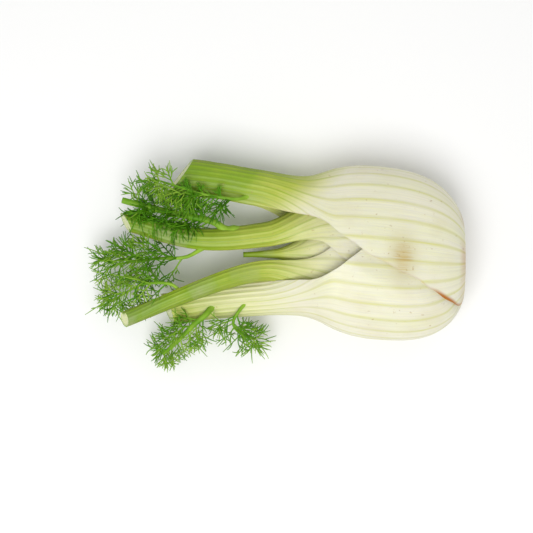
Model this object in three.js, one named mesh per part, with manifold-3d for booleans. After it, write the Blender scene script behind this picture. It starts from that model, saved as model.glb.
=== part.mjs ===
// A Florence fennel bulb as cut and trimmed for sale, lying on its broad side.
// Millimetres, +Z up, +X towards the cut root end, the origin on the surface at the middle of the flat rest.
// Thick leaf bases nest on a short root plate, on one side and then the other. Each narrows to a ribbed
// stalk that is cut short, and thread-leaved fronds grow from the stalks.

import * as THREE from "three";
import { mergeVertices } from "three/addons/utils/BufferGeometryUtils.js";
import Module from "manifold-3d";

const wasm = await Module();
wasm.setup();

const { degToRad, lerp, smoothstep } = THREE.MathUtils;

// The bulb's own frame: its middle lies here. With a half thickness of 27, its flat rest is 1.2 deep.
const bulbCentre = { x: 14.4, z: 25.8 };

// The bulb's long axis runs a little askew, so the sides differ.
const axis = { atMiddle: -1.2, slope: -0.085 };

// Nested egg forms, from the root end (+X) to the neck (-X): half width across Y and half thickness in Z.
const outerEgg = {
  width: { half: 52.3, widestX: -6, rootReach: 52, neckReach: 60 },
  thickness: { half: 27, widestX: -20, rootReach: 66, neckReach: 66 },
  neckX: -48,
};
const innerEgg = {
  width: { half: 45, widestX: -4, rootReach: 43, neckReach: 60 },
  thickness: { half: 20, widestX: -14, rootReach: 54, neckReach: 60 },
  neckX: -46,
};
const heartEgg = {
  width: { half: 34, widestX: -2, rootReach: 32, neckReach: 56 },
  thickness: { half: 14, widestX: -8, rootReach: 40, neckReach: 56 },
  neckX: -44,
};
const eggPower = 2.4;
const rootFullness = 0.34; // smaller is blunter
const neckFullness = 0.45;
const neckEase = 5;
const thinnestHalf = 0.3; // an egg never closes further than this

// Between one leaf base and the next, and between any two pieces that only touch.
const nestGap = 0.8;
const touchGap = 0.35;

// A leaf base is thick along its midrib and thin towards its free margins.
const marginThickness = 1.1;
const sideShare = 0.45;
const marginStep = 16; // degrees over which the next leaf comes out from under a margin
const leanLength = 26; // the last stretch of a stalk, where the sections turn towards a slanting cut
const backChannel = 0.12; // how much flatter a stalk is along its back, as a share of its half thickness
const stationCrowding = 0.45; // spacing of the sections at the root end against even spacing
const leafRoughness = 0.45;
const growRadius = 20; // a margin grows round the axis as if it were this far out
const growHalf = 5; // and a stalk as if this were its half thickness

// The four leaf bases, outermost first. side is +1 on the +Y side of the bulb. wrap says how far round the
// bulb each margin reaches, in degrees from the midrib, at a few places along X. stalk gives the middle line
// [x, y, z], the half width in the plane of the bulb and the half thickness. lean and tilt slant its cut end.
const leaves = [
  {
    name: "leaf_1_outer_base_and_stalk",
    side: 1,
    egg: outerEgg,
    rootX: 43.5,
    fleshy: 5.5,
    wrapTop: [[43.5, 160], [35, 131], [17, 109], [0, 99], [-20, 88], [-45, 66]],
    wrapUnder: [[43.5, 164], [32, 148], [10, 130], [-15, 118], [-35, 106], [-54, 76]],
    blendX: [-32, -82],
    stalk: [[-45, 35, 0], [-78, 37.1, 1], [-102, 41.2, 2], [-127, 43.6, 2]],
    halfWidth: [12.5, 12.2],
    halfThickness: [9, 7],
    closing: 140,
    lean: 0.7,
    tilt: 0.3,
    ribs: 11,
    ribDepth: 0.7,
    steps: 24,
    colour: 0xdfe2b4,
  },
  {
    name: "leaf_2_outer_base_and_stalk",
    side: -1,
    egg: outerEgg,
    rootX: 43.2,
    fleshy: 5,
    wrapTop: [[43.5, 162], [35, 148], [17, 124], [0, 107], [-20, 90], [-45, 64]],
    wrapUnder: [[43.5, 160], [30, 138], [10, 114], [-15, 96], [-35, 84], [-54, 66]],
    blendX: [-32, -78],
    stalk: [[-45, -27, 0], [-70, -26.5, -1.5], [-100, -29, -4], [-134, -33.4, -5]],
    halfWidth: [12, 10.6],
    halfThickness: [9, 7],
    closing: 140,
    lean: 0.3,
    tilt: 0.35,
    ribs: 11,
    ribDepth: 0.7,
    steps: 24,
    colour: 0xe2e4bd,
  },
  {
    name: "leaf_3_inner_base_and_stalk",
    side: 1,
    egg: innerEgg,
    rootX: 35.5,
    fleshy: 4.4,
    wrapTop: [[36, 160], [15, 134], [-5, 114], [-25, 100], [-50, 78]],
    wrapUnder: [[36, 160], [15, 130], [-5, 110], [-25, 94], [-50, 74]],
    blendX: [-24, -74],
    stalk: [[-40, 17, 0], [-75, 10, 2], [-115, 7.5, 3], [-158, 17.4, 4]],
    halfWidth: [8.5, 6.4],
    halfThickness: [7, 5.4],
    closing: 150,
    lean: -0.6,
    tilt: 0.4,
    ribs: 7,
    ribDepth: 0.6,
    steps: 20,
    colour: 0xa9c766,
  },
  {
    name: "leaf_4_inner_base_and_stalk",
    side: -1,
    egg: innerEgg,
    rootX: 33,
    fleshy: 4,
    wrapTop: [[36, 158], [15, 136], [-5, 118], [-25, 104], [-50, 80]],
    wrapUnder: [[36, 158], [15, 130], [-5, 112], [-25, 98], [-50, 76]],
    blendX: [-24, -74],
    stalk: [[-40, -15, 0], [-75, -11, 3.8], [-105, -18.5, 10.6], [-158, -40, 10]],
    halfWidth: [7.5, 4.9],
    halfThickness: [6.5, 4.7],
    closing: 150,
    lean: 0,
    tilt: 0.6,
    ribs: 7,
    ribDepth: 0.5,
    steps: 20,
    colour: 0x9cc457,
  },
];

// The heart of young leaves, drawn out to a blunt tip between the two inner stalks.
const heart = {
  rootX: 24,
  tip: [[-40, 0, 0], [-66, -1, 0], [-88, -1.6, 0.5]],
  blendX: [-20, -68],
  halfWidth: [5.5, 1.6],
  halfThickness: [5.5, 1.6],
  lean: 0,
  tilt: 0,
  rounds: 16,
  steps: 16,
  colour: 0xd9e08a,
  roughness: 0.5,
};

// The root plate: [x, half width, half thickness] from the cut face to the point inside the heart's foot.
const rootPlate = [
  [44.2, 15.8, 6.6],
  [42.6, 19.3, 8.4],
  [39.6, 23.2, 10],
  [37.2, 23, 9.8],
  [34, 14.4, 5.4],
  [29, 10, 3.8],
  [25.5, 3, 1.4],
];
const rootPlateRounds = 20;
const rootPlateColour = 0xe6dcb8;
const rootPlateRoughness = 0.75;

// Fronds: the middle line of each, in the bulb's frame, from its root sunk in a stalk, the stem's radius at
// both ends, how many side sprays of how many threads it has, how long those are, how far the sprays rise and
// dip in degrees, and the share of the stem where the last one grows.
const fronds = [
  {
    name: "frond_1_over_top_stalk",
    path: [[-84, 33, 6], [-93, 31, 13.5], [-112, 34, 14], [-128, 39, 12], [-142, 43.5, 8]],
    radius: [1.3, 0.5],
    sprays: 11,
    threads: 4,
    reach: 13,
    threadLength: 12,
    rise: 18,
    lastSpray: 1,
    seed: 11,
  },
  {
    name: "frond_2_on_thin_side_stem",
    path: [[-96, 12, 3], [-106, 18, 5], [-122, 21.5, 5.5], [-142, 26, 5.5], [-160, 30.8, 5]],
    radius: [2.3, 1.9],
    sprays: 10,
    threads: 5,
    reach: 15,
    threadLength: 11.5,
    rise: 40,
    lastSpray: 0.86,
    seed: 23,
  },
  {
    name: "frond_3_between_stalks",
    path: [[-108, 4, 4], [-122, -3, 6], [-140, -4, 4], [-156, -6, -2], [-170, -9, -8]],
    radius: [1.5, 0.5],
    sprays: 11,
    threads: 5,
    reach: 19,
    threadLength: 13,
    rise: 45,
    lastSpray: 1,
    seed: 37,
  },
  {
    name: "frond_4_on_lower_stalk",
    path: [[-122, -25, 9], [-131, -19, 12], [-146, -19, 8], [-158, -24, -2], [-168, -30, -11]],
    radius: [1.3, 0.5],
    sprays: 10,
    threads: 5,
    reach: 14,
    threadLength: 12,
    rise: 40,
    lastSpray: 1,
    seed: 41,
  },
  {
    name: "frond_5_hanging_from_lower_stalk",
    path: [[-104, -32, -1], [-111, -38, 4.5], [-119, -45, 3], [-128, -54, -4], [-137, -62, -11]],
    radius: [2.2, 1.1],
    sprays: 11,
    threads: 4,
    reach: 14,
    threadLength: 11.5,
    rise: 30,
    lastSpray: 1,
    seed: 59,
  },
  {
    name: "frond_6_beside_lower_stalk",
    path: [[-84, -30, 2], [-91, -36, 5], [-94, -43, 2], [-90, -49, -4], [-81, -53, -10]],
    radius: [1.3, 0.5],
    sprays: 8,
    threads: 4,
    reach: 13,
    threadLength: 11.5,
    rise: 30,
    lastSpray: 1,
    seed: 67,
  },
];
const frondColour = 0x4f8f2f;
const frondRoughness = 0.55;
const stemSides = 5;
const stemSteps = 9;
const twigSides = 3;
const sprayRadius = [0.7, 0.5];
const threadRadius = [0.4, 0];
const firstSpray = 0.24; // share of a frond's stem that is bare
const firstThread = 0.3; // the same for a side spray
const forwardLean = 0.85; // how far a branch points forward, against 1 outwards
const droopShare = 0.12;
const sprayAtRoot = 1.15; // a spray's length as a share of reach, where the stem begins
const sprayTaper = 0.75; // and how much of reach it loses by the stem's tip
const spraySpread = 0.15;
const threadTaper = 0.35;
const threadSpread = 0.25;
const threadTurn = 1.3; // radians that a thread may rise or dip from its spray's sides
const tangentStep = 0.02;
const floorClearance = 0.6; // lowest point of any thread above the surface

// The space under the surface that the bulb rests on.
const groundBlock = { length: 400, width: 300, depth: 40, middleX: -40 };

// A smooth curve through [x, value] pairs listed from high x to low x.
function valueAt(pairs, x) {
  const last = pairs.length - 1;
  if (x >= pairs[0][0]) return pairs[0][1];
  if (x <= pairs[last][0]) return pairs[last][1];
  const i = pairs.findIndex((pair, at) => at < last && x <= pair[0] && x > pairs[at + 1][0]);
  const slope = (at) => {
    const before = pairs[Math.max(at - 1, 0)];
    const after = pairs[Math.min(at + 1, last)];
    return (after[1] - before[1]) / (after[0] - before[0]);
  };
  const run = pairs[i + 1][0] - pairs[i][0];
  const t = (x - pairs[i][0]) / run;
  return (
    pairs[i][1] * (1 + 2 * t) * (1 - t) ** 2 +
    slope(i) * run * t * (1 - t) ** 2 +
    pairs[i + 1][1] * t * t * (3 - 2 * t) +
    slope(i + 1) * run * t * t * (t - 1)
  );
}

// Half width or half thickness of an egg form at x.
function eggHalf(form, x) {
  const toRoot = x > form.widestX;
  const share = Math.min(Math.abs(x - form.widestX) / (toRoot ? form.rootReach : form.neckReach), 1);
  return form.half * (1 - share ** eggPower) ** (toRoot ? rootFullness : neckFullness);
}

// x, held back smoothly where an egg form's neck begins, so that the form runs on as a tube.
function neckAt(egg, x) {
  return egg.neckX + neckEase * Math.log(1 + Math.exp((x - egg.neckX) / neckEase));
}

// A point of an egg form's surface, depth millimetres in, at an angle from +Y towards +Z.
function eggPoint(egg, x, angle, depth) {
  const at = neckAt(egg, x);
  const across = Math.max(eggHalf(egg.width, at) - depth, thinnestHalf);
  const up = Math.max(eggHalf(egg.thickness, at) - depth, thinnestHalf);
  const y = axis.atMiddle + axis.slope * at + across * Math.cos(angle);
  return new THREE.Vector3(x, y, up * Math.sin(angle));
}

// How far a leaf's margin is from its midrib at x, on the top (turn above 0) or the underside.
function wrapAt(leaf, x, turn) {
  return degToRad(valueAt(turn > 0 ? leaf.wrapTop : leaf.wrapUnder, x));
}

// A leaf base's thickness at x, for an angle from its midrib: flesh in the middle, thin at the margin.
function leafThickness(leaf, x, turn) {
  const toRoot = eggHalf(leaf.egg.thickness, x) / leaf.egg.thickness.half;
  const flesh = leaf.fleshy * toRoot * (sideShare + (1 - sideShare) * Math.cos(turn) ** 2);
  const toMargin = Math.min(Math.abs(turn) / wrapAt(leaf, x, turn), 1);
  return lerp(Math.max(flesh, marginThickness), marginThickness, toMargin ** 4);
}

// How deep a leaf lies under the leaf outside it, in the same egg form.
function depthUnder(cover, x, angle) {
  if (!cover) return 0;
  const at = neckAt(cover.egg, x);
  const turn = turnFrom(cover.side, angle);
  const past = Math.abs(turn) - wrapAt(cover, at, turn);
  const covered = 1 - smoothstep(past, 0.02, degToRad(marginStep));
  return covered * (leafThickness(cover, at, turn) + nestGap);
}

// The angle from a leaf's midrib, between -PI and PI, of an angle measured from +Y. Positive is on the top.
function turnFrom(side, angle) {
  const turn = side > 0 ? angle : Math.PI - angle;
  return Math.atan2(Math.sin(turn), Math.cos(turn));
}

// The stalk's middle and its two directions at x: across, in the plane of the bulb, and up.
function stalkFrame(line, x) {
  const yAt = (at) => valueAt(line.map((p) => [p[0], p[1]]), at);
  const zAt = (at) => valueAt(line.map((p) => [p[0], p[2]]), at);
  const slope = (yAt(x + 1) - yAt(x - 1)) / 2;
  const across = new THREE.Vector3(-slope, 1, 0).normalize();
  return { middle: new THREE.Vector3(x, yAt(x), zAt(x)), across };
}

// A point of a stalk's section: across and up are shares of its half width and half thickness.
function stalkPoint(form, side, x, across, up) {
  const frame = stalkFrame(form.stalk, x);
  const tipX = form.stalk[form.stalk.length - 1][0];
  const along = smoothstep(-x, -form.stalk[0][0], -tipX);
  const n = side * across * lerp(...form.halfWidth, along);
  const m = up * lerp(...form.halfThickness, along);
  const cutShare = smoothstep(-x, -(tipX + leanLength), -tipX);
  const point = frame.middle.clone().addScaledVector(frame.across, n);
  point.x += cutShare * (form.lean * n * side + form.tilt * m);
  point.z += m;
  return point;
}

// The share of the way from bulb to stalk at x.
function stalkShare(form, x) {
  return smoothstep(-x, -form.blendX[0], -form.blendX[1]);
}

// Places along a leaf, close together where the form bends most, near the root and the neck.
function stations(rootX, tipX, steps) {
  return Array.from({ length: steps + 1 }, (_, i) => {
    const t = i / steps;
    return lerp(rootX, tipX, t * lerp(stationCrowding, 1, t));
  });
}

// One section of a leaf, as a closed loop: the outer side from margin to margin, then the inner side back.
// grow makes the leaf thicker on all sides, to cut a neighbour clear of it.
function leafSection(leaf, cover, x, grow) {
  const outer = [];
  const inner = [];
  const share = stalkShare(leaf, x);
  const pieces = leaf.ribs * 2;
  const at = neckAt(leaf.egg, x);
  const close = degToRad(leaf.closing);
  const stalkGrowth = 1 + grow / growHalf;
  for (let i = 0; i <= pieces; i += 1) {
    const u = (2 * i) / pieces - 1;
    const groove = i % 2 ? 0 : leaf.ribDepth * eggHalf(leaf.egg.thickness, at) / leaf.egg.thickness.half;
    const turn = u * (wrapAt(leaf, at, u) + grow / growRadius);
    const angle = leaf.side > 0 ? turn : Math.PI - turn;
    const depth = depthUnder(cover, x, angle) - grow;
    const thickness = leafThickness(leaf, at, turn) + 2 * grow;
    const stalkTurn = u * close;
    const swell = stalkGrowth - groove / leaf.halfWidth[0];
    const back = Math.cos(close) * stalkGrowth + backChannel * (1 - u * u);
    outer.push(
      eggPoint(leaf.egg, x, angle, depth + groove).lerp(
        stalkPoint(leaf, leaf.side, x, Math.cos(stalkTurn) * swell, Math.sin(stalkTurn) * swell),
        share,
      ),
    );
    inner.push(
      eggPoint(leaf.egg, x, angle, depth + thickness).lerp(
        stalkPoint(leaf, leaf.side, x, back, Math.sin(close) * stalkGrowth * u),
        share,
      ),
    );
  }
  return [...outer, ...inner.reverse()];
}

// A closed skin over sections that are loops of the same number of points, with ladder caps at both ends.
function loft(sections) {
  const count = sections[0].length;
  const corners = [];
  sections.slice(1).forEach((_, row) => {
    for (let i = 0; i < count; i += 1) {
      const a = row * count + i;
      const b = row * count + ((i + 1) % count);
      corners.push(a, b, a + count, b, b + count, a + count);
    }
  });
  const last = (sections.length - 1) * count;
  for (let i = 0; i < count / 2 - 1; i += 1) {
    const [a, b, c, d] = [i, i + 1, count - 2 - i, count - 1 - i];
    corners.push(a, c, b, a, d, c);
    corners.push(last + a, last + b, last + c, last + a, last + c, last + d);
  }
  const geometry = new THREE.BufferGeometry().setFromPoints(sections.flat());
  geometry.setIndex(corners);
  return geometry;
}

// A three.js geometry as a solid for cutting and joining, turned the right way out.
function solid(geometry) {
  const bare = geometry.clone();
  bare.deleteAttribute("normal");
  bare.deleteAttribute("uv");
  const merged = mergeVertices(bare, 1e-4);
  const triVerts = new Uint32Array(merged.index.array);
  const vertProperties = merged.attributes.position.array;
  const made = new wasm.Manifold(new wasm.Mesh({ numProp: 3, vertProperties, triVerts }));
  if (made.volume() > 0) return made;
  const turned = triVerts.slice();
  for (let i = 0; i < turned.length; i += 3) {
    [turned[i + 1], turned[i + 2]] = [triVerts[i + 2], triVerts[i + 1]];
  }
  return new wasm.Manifold(new wasm.Mesh({ numProp: 3, vertProperties, triVerts: turned }));
}

// The largest of the bodies that a cut leaves.
function largest(cut) {
  return cut.decompose().sort((a, b) => b.volume() - a.volume())[0];
}

// A solid as a named mesh with its own material.
function meshOf(name, body, colour, roughness) {
  const made = body.getMesh();
  const geometry = new THREE.BufferGeometry();
  geometry.setAttribute("position", new THREE.BufferAttribute(new Float32Array(made.vertProperties), 3));
  geometry.setIndex(new THREE.BufferAttribute(new Uint32Array(made.triVerts), 1));
  geometry.computeVertexNormals();
  const material = new THREE.MeshStandardMaterial({ color: colour, roughness, metalness: 0 });
  const mesh = new THREE.Mesh(geometry, material);
  mesh.name = name;
  return mesh;
}

// One leaf base with its stalk.
function leafSolid(leaf, cover, grow = 0) {
  const tipX = leaf.stalk[leaf.stalk.length - 1][0];
  const places = stations(leaf.rootX + grow, tipX - grow, leaf.steps);
  return solid(loft(places.map((x) => leafSection(leaf, cover, x, grow))));
}

// The heart: the innermost egg, blended into its tip.
function heartSolid() {
  const tipX = heart.tip[heart.tip.length - 1][0];
  const form = { ...heart, stalk: heart.tip };
  const sections = stations(heart.rootX, tipX, heart.steps).map((x) =>
    Array.from({ length: heart.rounds }, (_, i) => {
      const angle = (2 * Math.PI * i) / heart.rounds;
      const tip = stalkPoint(form, 1, x, Math.cos(angle), Math.sin(angle));
      return eggPoint(heartEgg, x, angle, 0).lerp(tip, stalkShare(form, x));
    }),
  );
  return solid(loft(sections));
}

function rootPlateSolid() {
  const sections = rootPlate.map(([x, width, thickness]) =>
    Array.from({ length: rootPlateRounds }, (_, i) => {
      const angle = (2 * Math.PI * i) / rootPlateRounds;
      const y = axis.atMiddle + axis.slope * x + width * Math.cos(angle);
      return new THREE.Vector3(x, y, thickness * Math.sin(angle));
    }),
  );
  return solid(loft(sections));
}

// Draws between 0 and 1, the same in every run.
function seededDraws(seed) {
  let state = seed;
  return () => {
    state = (state * 1664525 + 1013904223) % 4294967296;
    return state / 4294967296;
  };
}

// A point of a frond's middle line, t from 0 at the root to 1 at the tip, on a smooth curve.
function linePoint(points, t) {
  const last = points.length - 1;
  const at = Math.min(t, 0.9999) * last;
  const i = Math.floor(at);
  const f = at - i;
  const pick = (k) => new THREE.Vector3(...points[Math.min(Math.max(k, 0), last)]);
  const [a, b, c, d] = [pick(i - 1), pick(i), pick(i + 1), pick(i + 2)];
  return new THREE.Vector3()
    .addScaledVector(a, 0.5 * (-f + 2 * f * f - f ** 3))
    .addScaledVector(b, 0.5 * (2 - 5 * f * f + 3 * f ** 3))
    .addScaledVector(c, 0.5 * (f + 4 * f * f - 3 * f ** 3))
    .addScaledVector(d, 0.5 * (-f * f + f ** 3));
}

// The direction of a frond's middle line at t.
function forwardAt(points, t) {
  const behind = linePoint(points, Math.max(t - tangentStep, 0));
  return linePoint(points, t + tangentStep).sub(behind).normalize();
}

// A draw between 1 less and 1 more than spread.
function around(draw, spread) {
  return 1 + spread * (2 * draw() - 1);
}

// A branch's direction: forward by lean parts and outwards by one, turned round the forward way.
function branchWay(forward, turn, lean) {
  const level = new THREE.Vector3(0, 0, 1).cross(forward).normalize();
  const over = forward.clone().cross(level);
  return forward
    .clone()
    .multiplyScalar(lean)
    .addScaledVector(level, Math.cos(turn))
    .addScaledVector(over, Math.sin(turn))
    .normalize();
}

// The side sprays and threads of a frond as straight twigs {from, to, radius}, each spray before its threads.
function frondTwigs(frond) {
  const draw = seededDraws(frond.seed);
  const twigs = [];
  for (let i = 0; i < frond.sprays; i += 1) {
    const t = firstSpray + ((frond.lastSpray - firstSpray) * (i + 0.6)) / frond.sprays;
    const from = linePoint(frond.path, t);
    const forward = forwardAt(frond.path, t);
    const turn = (i % 2 ? Math.PI : 0) + degToRad(frond.rise) * (2 * draw() - 1);
    const way = branchWay(forward, turn, forwardLean);
    const length = frond.reach * (sprayAtRoot - sprayTaper * t) * around(draw, spraySpread);
    const to = from.clone().addScaledVector(way, length);
    to.z -= droopShare * length;
    twigs.push({ from, to, radius: sprayRadius, spray: i });
    for (let j = 0; j < frond.threads; j += 1) {
      const along = firstThread + ((1 - firstThread) * (j + 0.5)) / frond.threads;
      const threadFrom = from.clone().lerp(to, along);
      const turnOnSpray = (j % 2 ? Math.PI : 0) + threadTurn * (2 * draw() - 1);
      const threadWay = branchWay(way, turnOnSpray, forwardLean);
      const threadLength = frond.threadLength * (1 - threadTaper * along) * around(draw, threadSpread);
      const threadTo = threadFrom.clone().addScaledVector(threadWay, threadLength);
      twigs.push({ from: threadFrom, to: threadTo, radius: threadRadius, spray: i });
    }
  }
  const lowest = floorClearance - bulbCentre.z + threadRadius[0];
  for (const twig of twigs) {
    twig.from.z = Math.max(twig.from.z, lowest);
    twig.to.z = Math.max(twig.to.z, lowest);
  }
  return twigs;
}

// A straight tapering twig as a solid.
function twigSolid({ from, to, radius }) {
  const way = to.clone().sub(from);
  const geometry = new THREE.CylinderGeometry(radius[1], radius[0], way.length(), twigSides, 1);
  const upright = new THREE.Vector3(0, 1, 0);
  geometry.applyQuaternion(new THREE.Quaternion().setFromUnitVectors(upright, way.normalize()));
  const middle = from.clone().lerp(to, 0.5);
  return solid(geometry.translate(middle.x, middle.y, middle.z));
}

// A frond's stem, tapering along its middle line.
function stemSolid(frond, grow) {
  const sections = Array.from({ length: stemSteps + 1 }, (_, row) => {
    const t = row / stemSteps;
    const middle = linePoint(frond.path, t);
    const forward = forwardAt(frond.path, t);
    const level = new THREE.Vector3(0, 0, 1).cross(forward).normalize();
    const over = forward.clone().cross(level);
    const radius = lerp(...frond.radius, t) + grow;
    return Array.from({ length: stemSides + 1 }, (_, i) => {
      const angle = (2 * Math.PI * i) / (stemSides + 1);
      return middle
        .clone()
        .addScaledVector(level, radius * Math.cos(angle))
        .addScaledVector(over, radius * Math.sin(angle));
    });
  });
  return solid(loft(sections));
}

// The shortest distance between two straight twigs.
function twigDistance(a, b) {
  const u = a.to.clone().sub(a.from);
  const v = b.to.clone().sub(b.from);
  const w = a.from.clone().sub(b.from);
  const [uu, uv, vv, uw, vw] = [u.dot(u), u.dot(v), v.dot(v), u.dot(w), v.dot(w)];
  const clamp = (value) => Math.min(Math.max(value, 0), 1);
  let s = clamp((uv * vw - vv * uw) / Math.max(uu * vv - uv * uv, 1e-9));
  const t = clamp((uv * s + vw) / vv);
  s = clamp((uv * t - uw) / uu);
  return a.from.clone().addScaledVector(u, s).distanceTo(b.from.clone().addScaledVector(v, t));
}

// The stem's stretches as twigs, for keeping other fronds clear of it.
function stemTwigs(frond) {
  return Array.from({ length: stemSteps }, (_, row) => ({
    from: linePoint(frond.path, row / stemSteps),
    to: linePoint(frond.path, (row + 1) / stemSteps),
    radius: frond.radius,
  }));
}

// Every frond's twigs, left out where they would touch another frond. A spray goes with its threads.
function clearedTwigs() {
  const placed = fronds.map(stemTwigs);
  return fronds.map((frond, own) => {
    const others = () => placed.filter((_, at) => at !== own).flat();
    const dropped = new Set();
    const kept = frondTwigs(frond).filter((twig) => {
      if (dropped.has(twig.spray)) return false;
      const clear = others().every(
        (other) => twigDistance(twig, other) > twig.radius[0] + other.radius[0] + touchGap,
      );
      if (!clear && twig.radius === sprayRadius) dropped.add(twig.spray);
      return clear;
    });
    placed[own] = [...placed[own], ...kept];
    return kept;
  });
}

function groundSolid() {
  const { length, width, depth, middleX } = groundBlock;
  const block = new THREE.BoxGeometry(length, width, depth);
  return solid(block.translate(middleX, 0, -bulbCentre.z - depth / 2));
}

const ground = groundSolid();
const coverOf = (leaf) => leaves.find((other) => other.egg === leaf.egg && other.side > leaf.side);
const leafCover = leaves.map(coverOf);
const twigs = clearedTwigs();
const grownStems = fronds.map((frond) => stemSolid(frond, touchGap));
const stems = fronds.map((frond) => stemSolid(frond, 0));

const leafBodies = leaves.map((leaf, i) => leafSolid(leaf, leafCover[i]));
const grownLeaves = leaves.map((leaf, i) => leafSolid(leaf, leafCover[i], touchGap));
for (let i = 0; i < leaves.length; i += 1) {
  for (let outer = 0; outer < i; outer += 1) {
    const overlap = leafBodies[i].intersect(leafBodies[outer]).volume();
    if (overlap > 0) leafBodies[i] = leafBodies[i].subtract(grownLeaves[outer]);
  }
  for (const stem of grownStems) leafBodies[i] = leafBodies[i].subtract(stem);
  leafBodies[i] = largest(leafBodies[i].subtract(ground));
}

const group = new THREE.Group();
leaves.forEach((leaf, i) => group.add(meshOf(leaf.name, leafBodies[i], leaf.colour, leafRoughness)));

const heartBody = grownLeaves.reduce((body, grown) => body.subtract(grown), heartSolid());
group.add(meshOf("heart_of_young_leaves", largest(heartBody), heart.colour, heart.roughness));

const plateBody = grownLeaves.reduce((body, grown) => body.subtract(grown), rootPlateSolid());
const plateClear = largest(plateBody.subtract(heartSolid()));
group.add(meshOf("root_plate", plateClear, rootPlateColour, rootPlateRoughness));

fronds.forEach((frond, i) => {
  const sprays = wasm.Manifold.union(twigs[i].map(twigSolid));
  const clear = grownLeaves.reduce((body, grown) => body.subtract(grown), sprays);
  group.add(meshOf(frond.name, largest(clear.add(stems[i])), frondColour, frondRoughness));
});

group.position.set(bulbCentre.x, 0, bulbCentre.z);

export default group;
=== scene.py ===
import math
import random

import bpy
import numpy as np
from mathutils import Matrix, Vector, noise


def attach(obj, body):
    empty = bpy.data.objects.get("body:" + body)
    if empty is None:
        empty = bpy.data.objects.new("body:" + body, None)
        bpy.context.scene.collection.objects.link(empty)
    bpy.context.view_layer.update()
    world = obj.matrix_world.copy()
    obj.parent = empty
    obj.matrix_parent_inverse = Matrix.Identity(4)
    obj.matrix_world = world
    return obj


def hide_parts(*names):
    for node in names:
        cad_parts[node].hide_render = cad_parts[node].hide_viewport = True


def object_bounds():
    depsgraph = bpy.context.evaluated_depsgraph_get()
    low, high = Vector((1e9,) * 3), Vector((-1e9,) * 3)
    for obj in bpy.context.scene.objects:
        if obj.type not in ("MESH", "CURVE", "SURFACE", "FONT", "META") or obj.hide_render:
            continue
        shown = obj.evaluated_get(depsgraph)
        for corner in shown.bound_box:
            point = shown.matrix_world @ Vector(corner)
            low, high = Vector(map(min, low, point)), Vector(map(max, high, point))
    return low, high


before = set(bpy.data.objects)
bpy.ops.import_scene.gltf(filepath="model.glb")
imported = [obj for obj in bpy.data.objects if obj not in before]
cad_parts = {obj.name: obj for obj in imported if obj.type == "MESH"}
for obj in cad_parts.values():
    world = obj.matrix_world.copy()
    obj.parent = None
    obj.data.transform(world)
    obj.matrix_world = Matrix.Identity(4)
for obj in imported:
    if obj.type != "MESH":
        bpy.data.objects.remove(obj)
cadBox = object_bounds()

print("frame loaded:", len(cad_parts), "nodes")

mm = 0.001

# Where the bulb's own frame sits: its middle in mm from the origin, long axis along X, root end at +X.
bulb = {
    "centre": (14.4, 0, 25.8),
    "axisAtMiddle": -1.2,  # the long axis runs a little askew in Y
    "axisSlope": -0.085,
    "nestGap": 0.8,  # air between one leaf base and the next, mm
    "marginThickness": 1.1,
    "sideShare": 0.45,  # flesh at the flanks against the midrib
    "marginStep": 16,  # degrees over which a leaf comes out from under a margin
    "leanLength": 26,  # the end of a stalk that turns towards a slanting cut, mm
    "leastHalf": 0.3,  # the thinnest that an egg form gets, mm
}

# Nested egg forms: half width across Y and half thickness in Z, mm.
outerEgg = {
    "width": {"half": 52.3, "widestX": -6, "rootReach": 52, "neckReach": 60},
    "thickness": {"half": 27, "widestX": -20, "rootReach": 66, "neckReach": 66},
    "neckX": -48,
}
innerEgg = {
    "width": {"half": 45, "widestX": -4, "rootReach": 43, "neckReach": 60},
    "thickness": {"half": 20, "widestX": -14, "rootReach": 54, "neckReach": 60},
    "neckX": -46,
}
heartEgg = {
    "width": {"half": 34, "widestX": -2, "rootReach": 32, "neckReach": 56},
    "thickness": {"half": 14, "widestX": -8, "rootReach": 40, "neckReach": 56},
    "neckX": -44,
}
eggPower = 2.4
rootFullness = 0.34  # smaller is blunter
neckFullness = 0.45
neckEase = 5


def smoothstep(value, low, high):
    t = np.clip((value - low) / (high - low), 0, 1)
    return t * t * (3 - 2 * t)


def mix(a, b, share):
    return a + (b - a) * share


# A smooth curve through (x, value) pairs listed from high x to low x.
def valueAt(pairs, x):
    last = len(pairs) - 1
    if x >= pairs[0][0]:
        return pairs[0][1]
    if x <= pairs[last][0]:
        return pairs[last][1]
    i = next(at for at in range(last) if pairs[at + 1][0] < x <= pairs[at][0])

    def slope(at):
        before, after = pairs[max(at - 1, 0)], pairs[min(at + 1, last)]
        return (after[1] - before[1]) / (after[0] - before[0])

    run = pairs[i + 1][0] - pairs[i][0]
    t = (x - pairs[i][0]) / run
    return (
        pairs[i][1] * (1 + 2 * t) * (1 - t) ** 2
        + slope(i) * run * t * (1 - t) ** 2
        + pairs[i + 1][1] * t * t * (3 - 2 * t)
        + slope(i + 1) * run * t * t * (t - 1)
    )


def eggHalf(form, x):
    toRoot = x > form["widestX"]
    share = min(abs(x - form["widestX"]) / form["rootReach" if toRoot else "neckReach"], 1)
    return form["half"] * (1 - share**eggPower) ** (rootFullness if toRoot else neckFullness)


# x held back smoothly at the neck, so that the egg runs on there as a tube.
def neckAt(egg, x):
    return egg["neckX"] + neckEase * math.log(1 + math.exp((x - egg["neckX"]) / neckEase))


# Points of an egg's skin at one x, some depth in, for angles from +Y towards +Z.
def eggPoints(egg, x, angle, depth):
    at = neckAt(egg, x)
    across = np.maximum(eggHalf(egg["width"], at) - depth, bulb["leastHalf"])
    up = np.maximum(eggHalf(egg["thickness"], at) - depth, bulb["leastHalf"])
    y = bulb["axisAtMiddle"] + bulb["axisSlope"] * at + across * np.cos(angle)
    return np.stack([np.full_like(y, x), y, up * np.sin(angle)], axis=-1)


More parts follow.
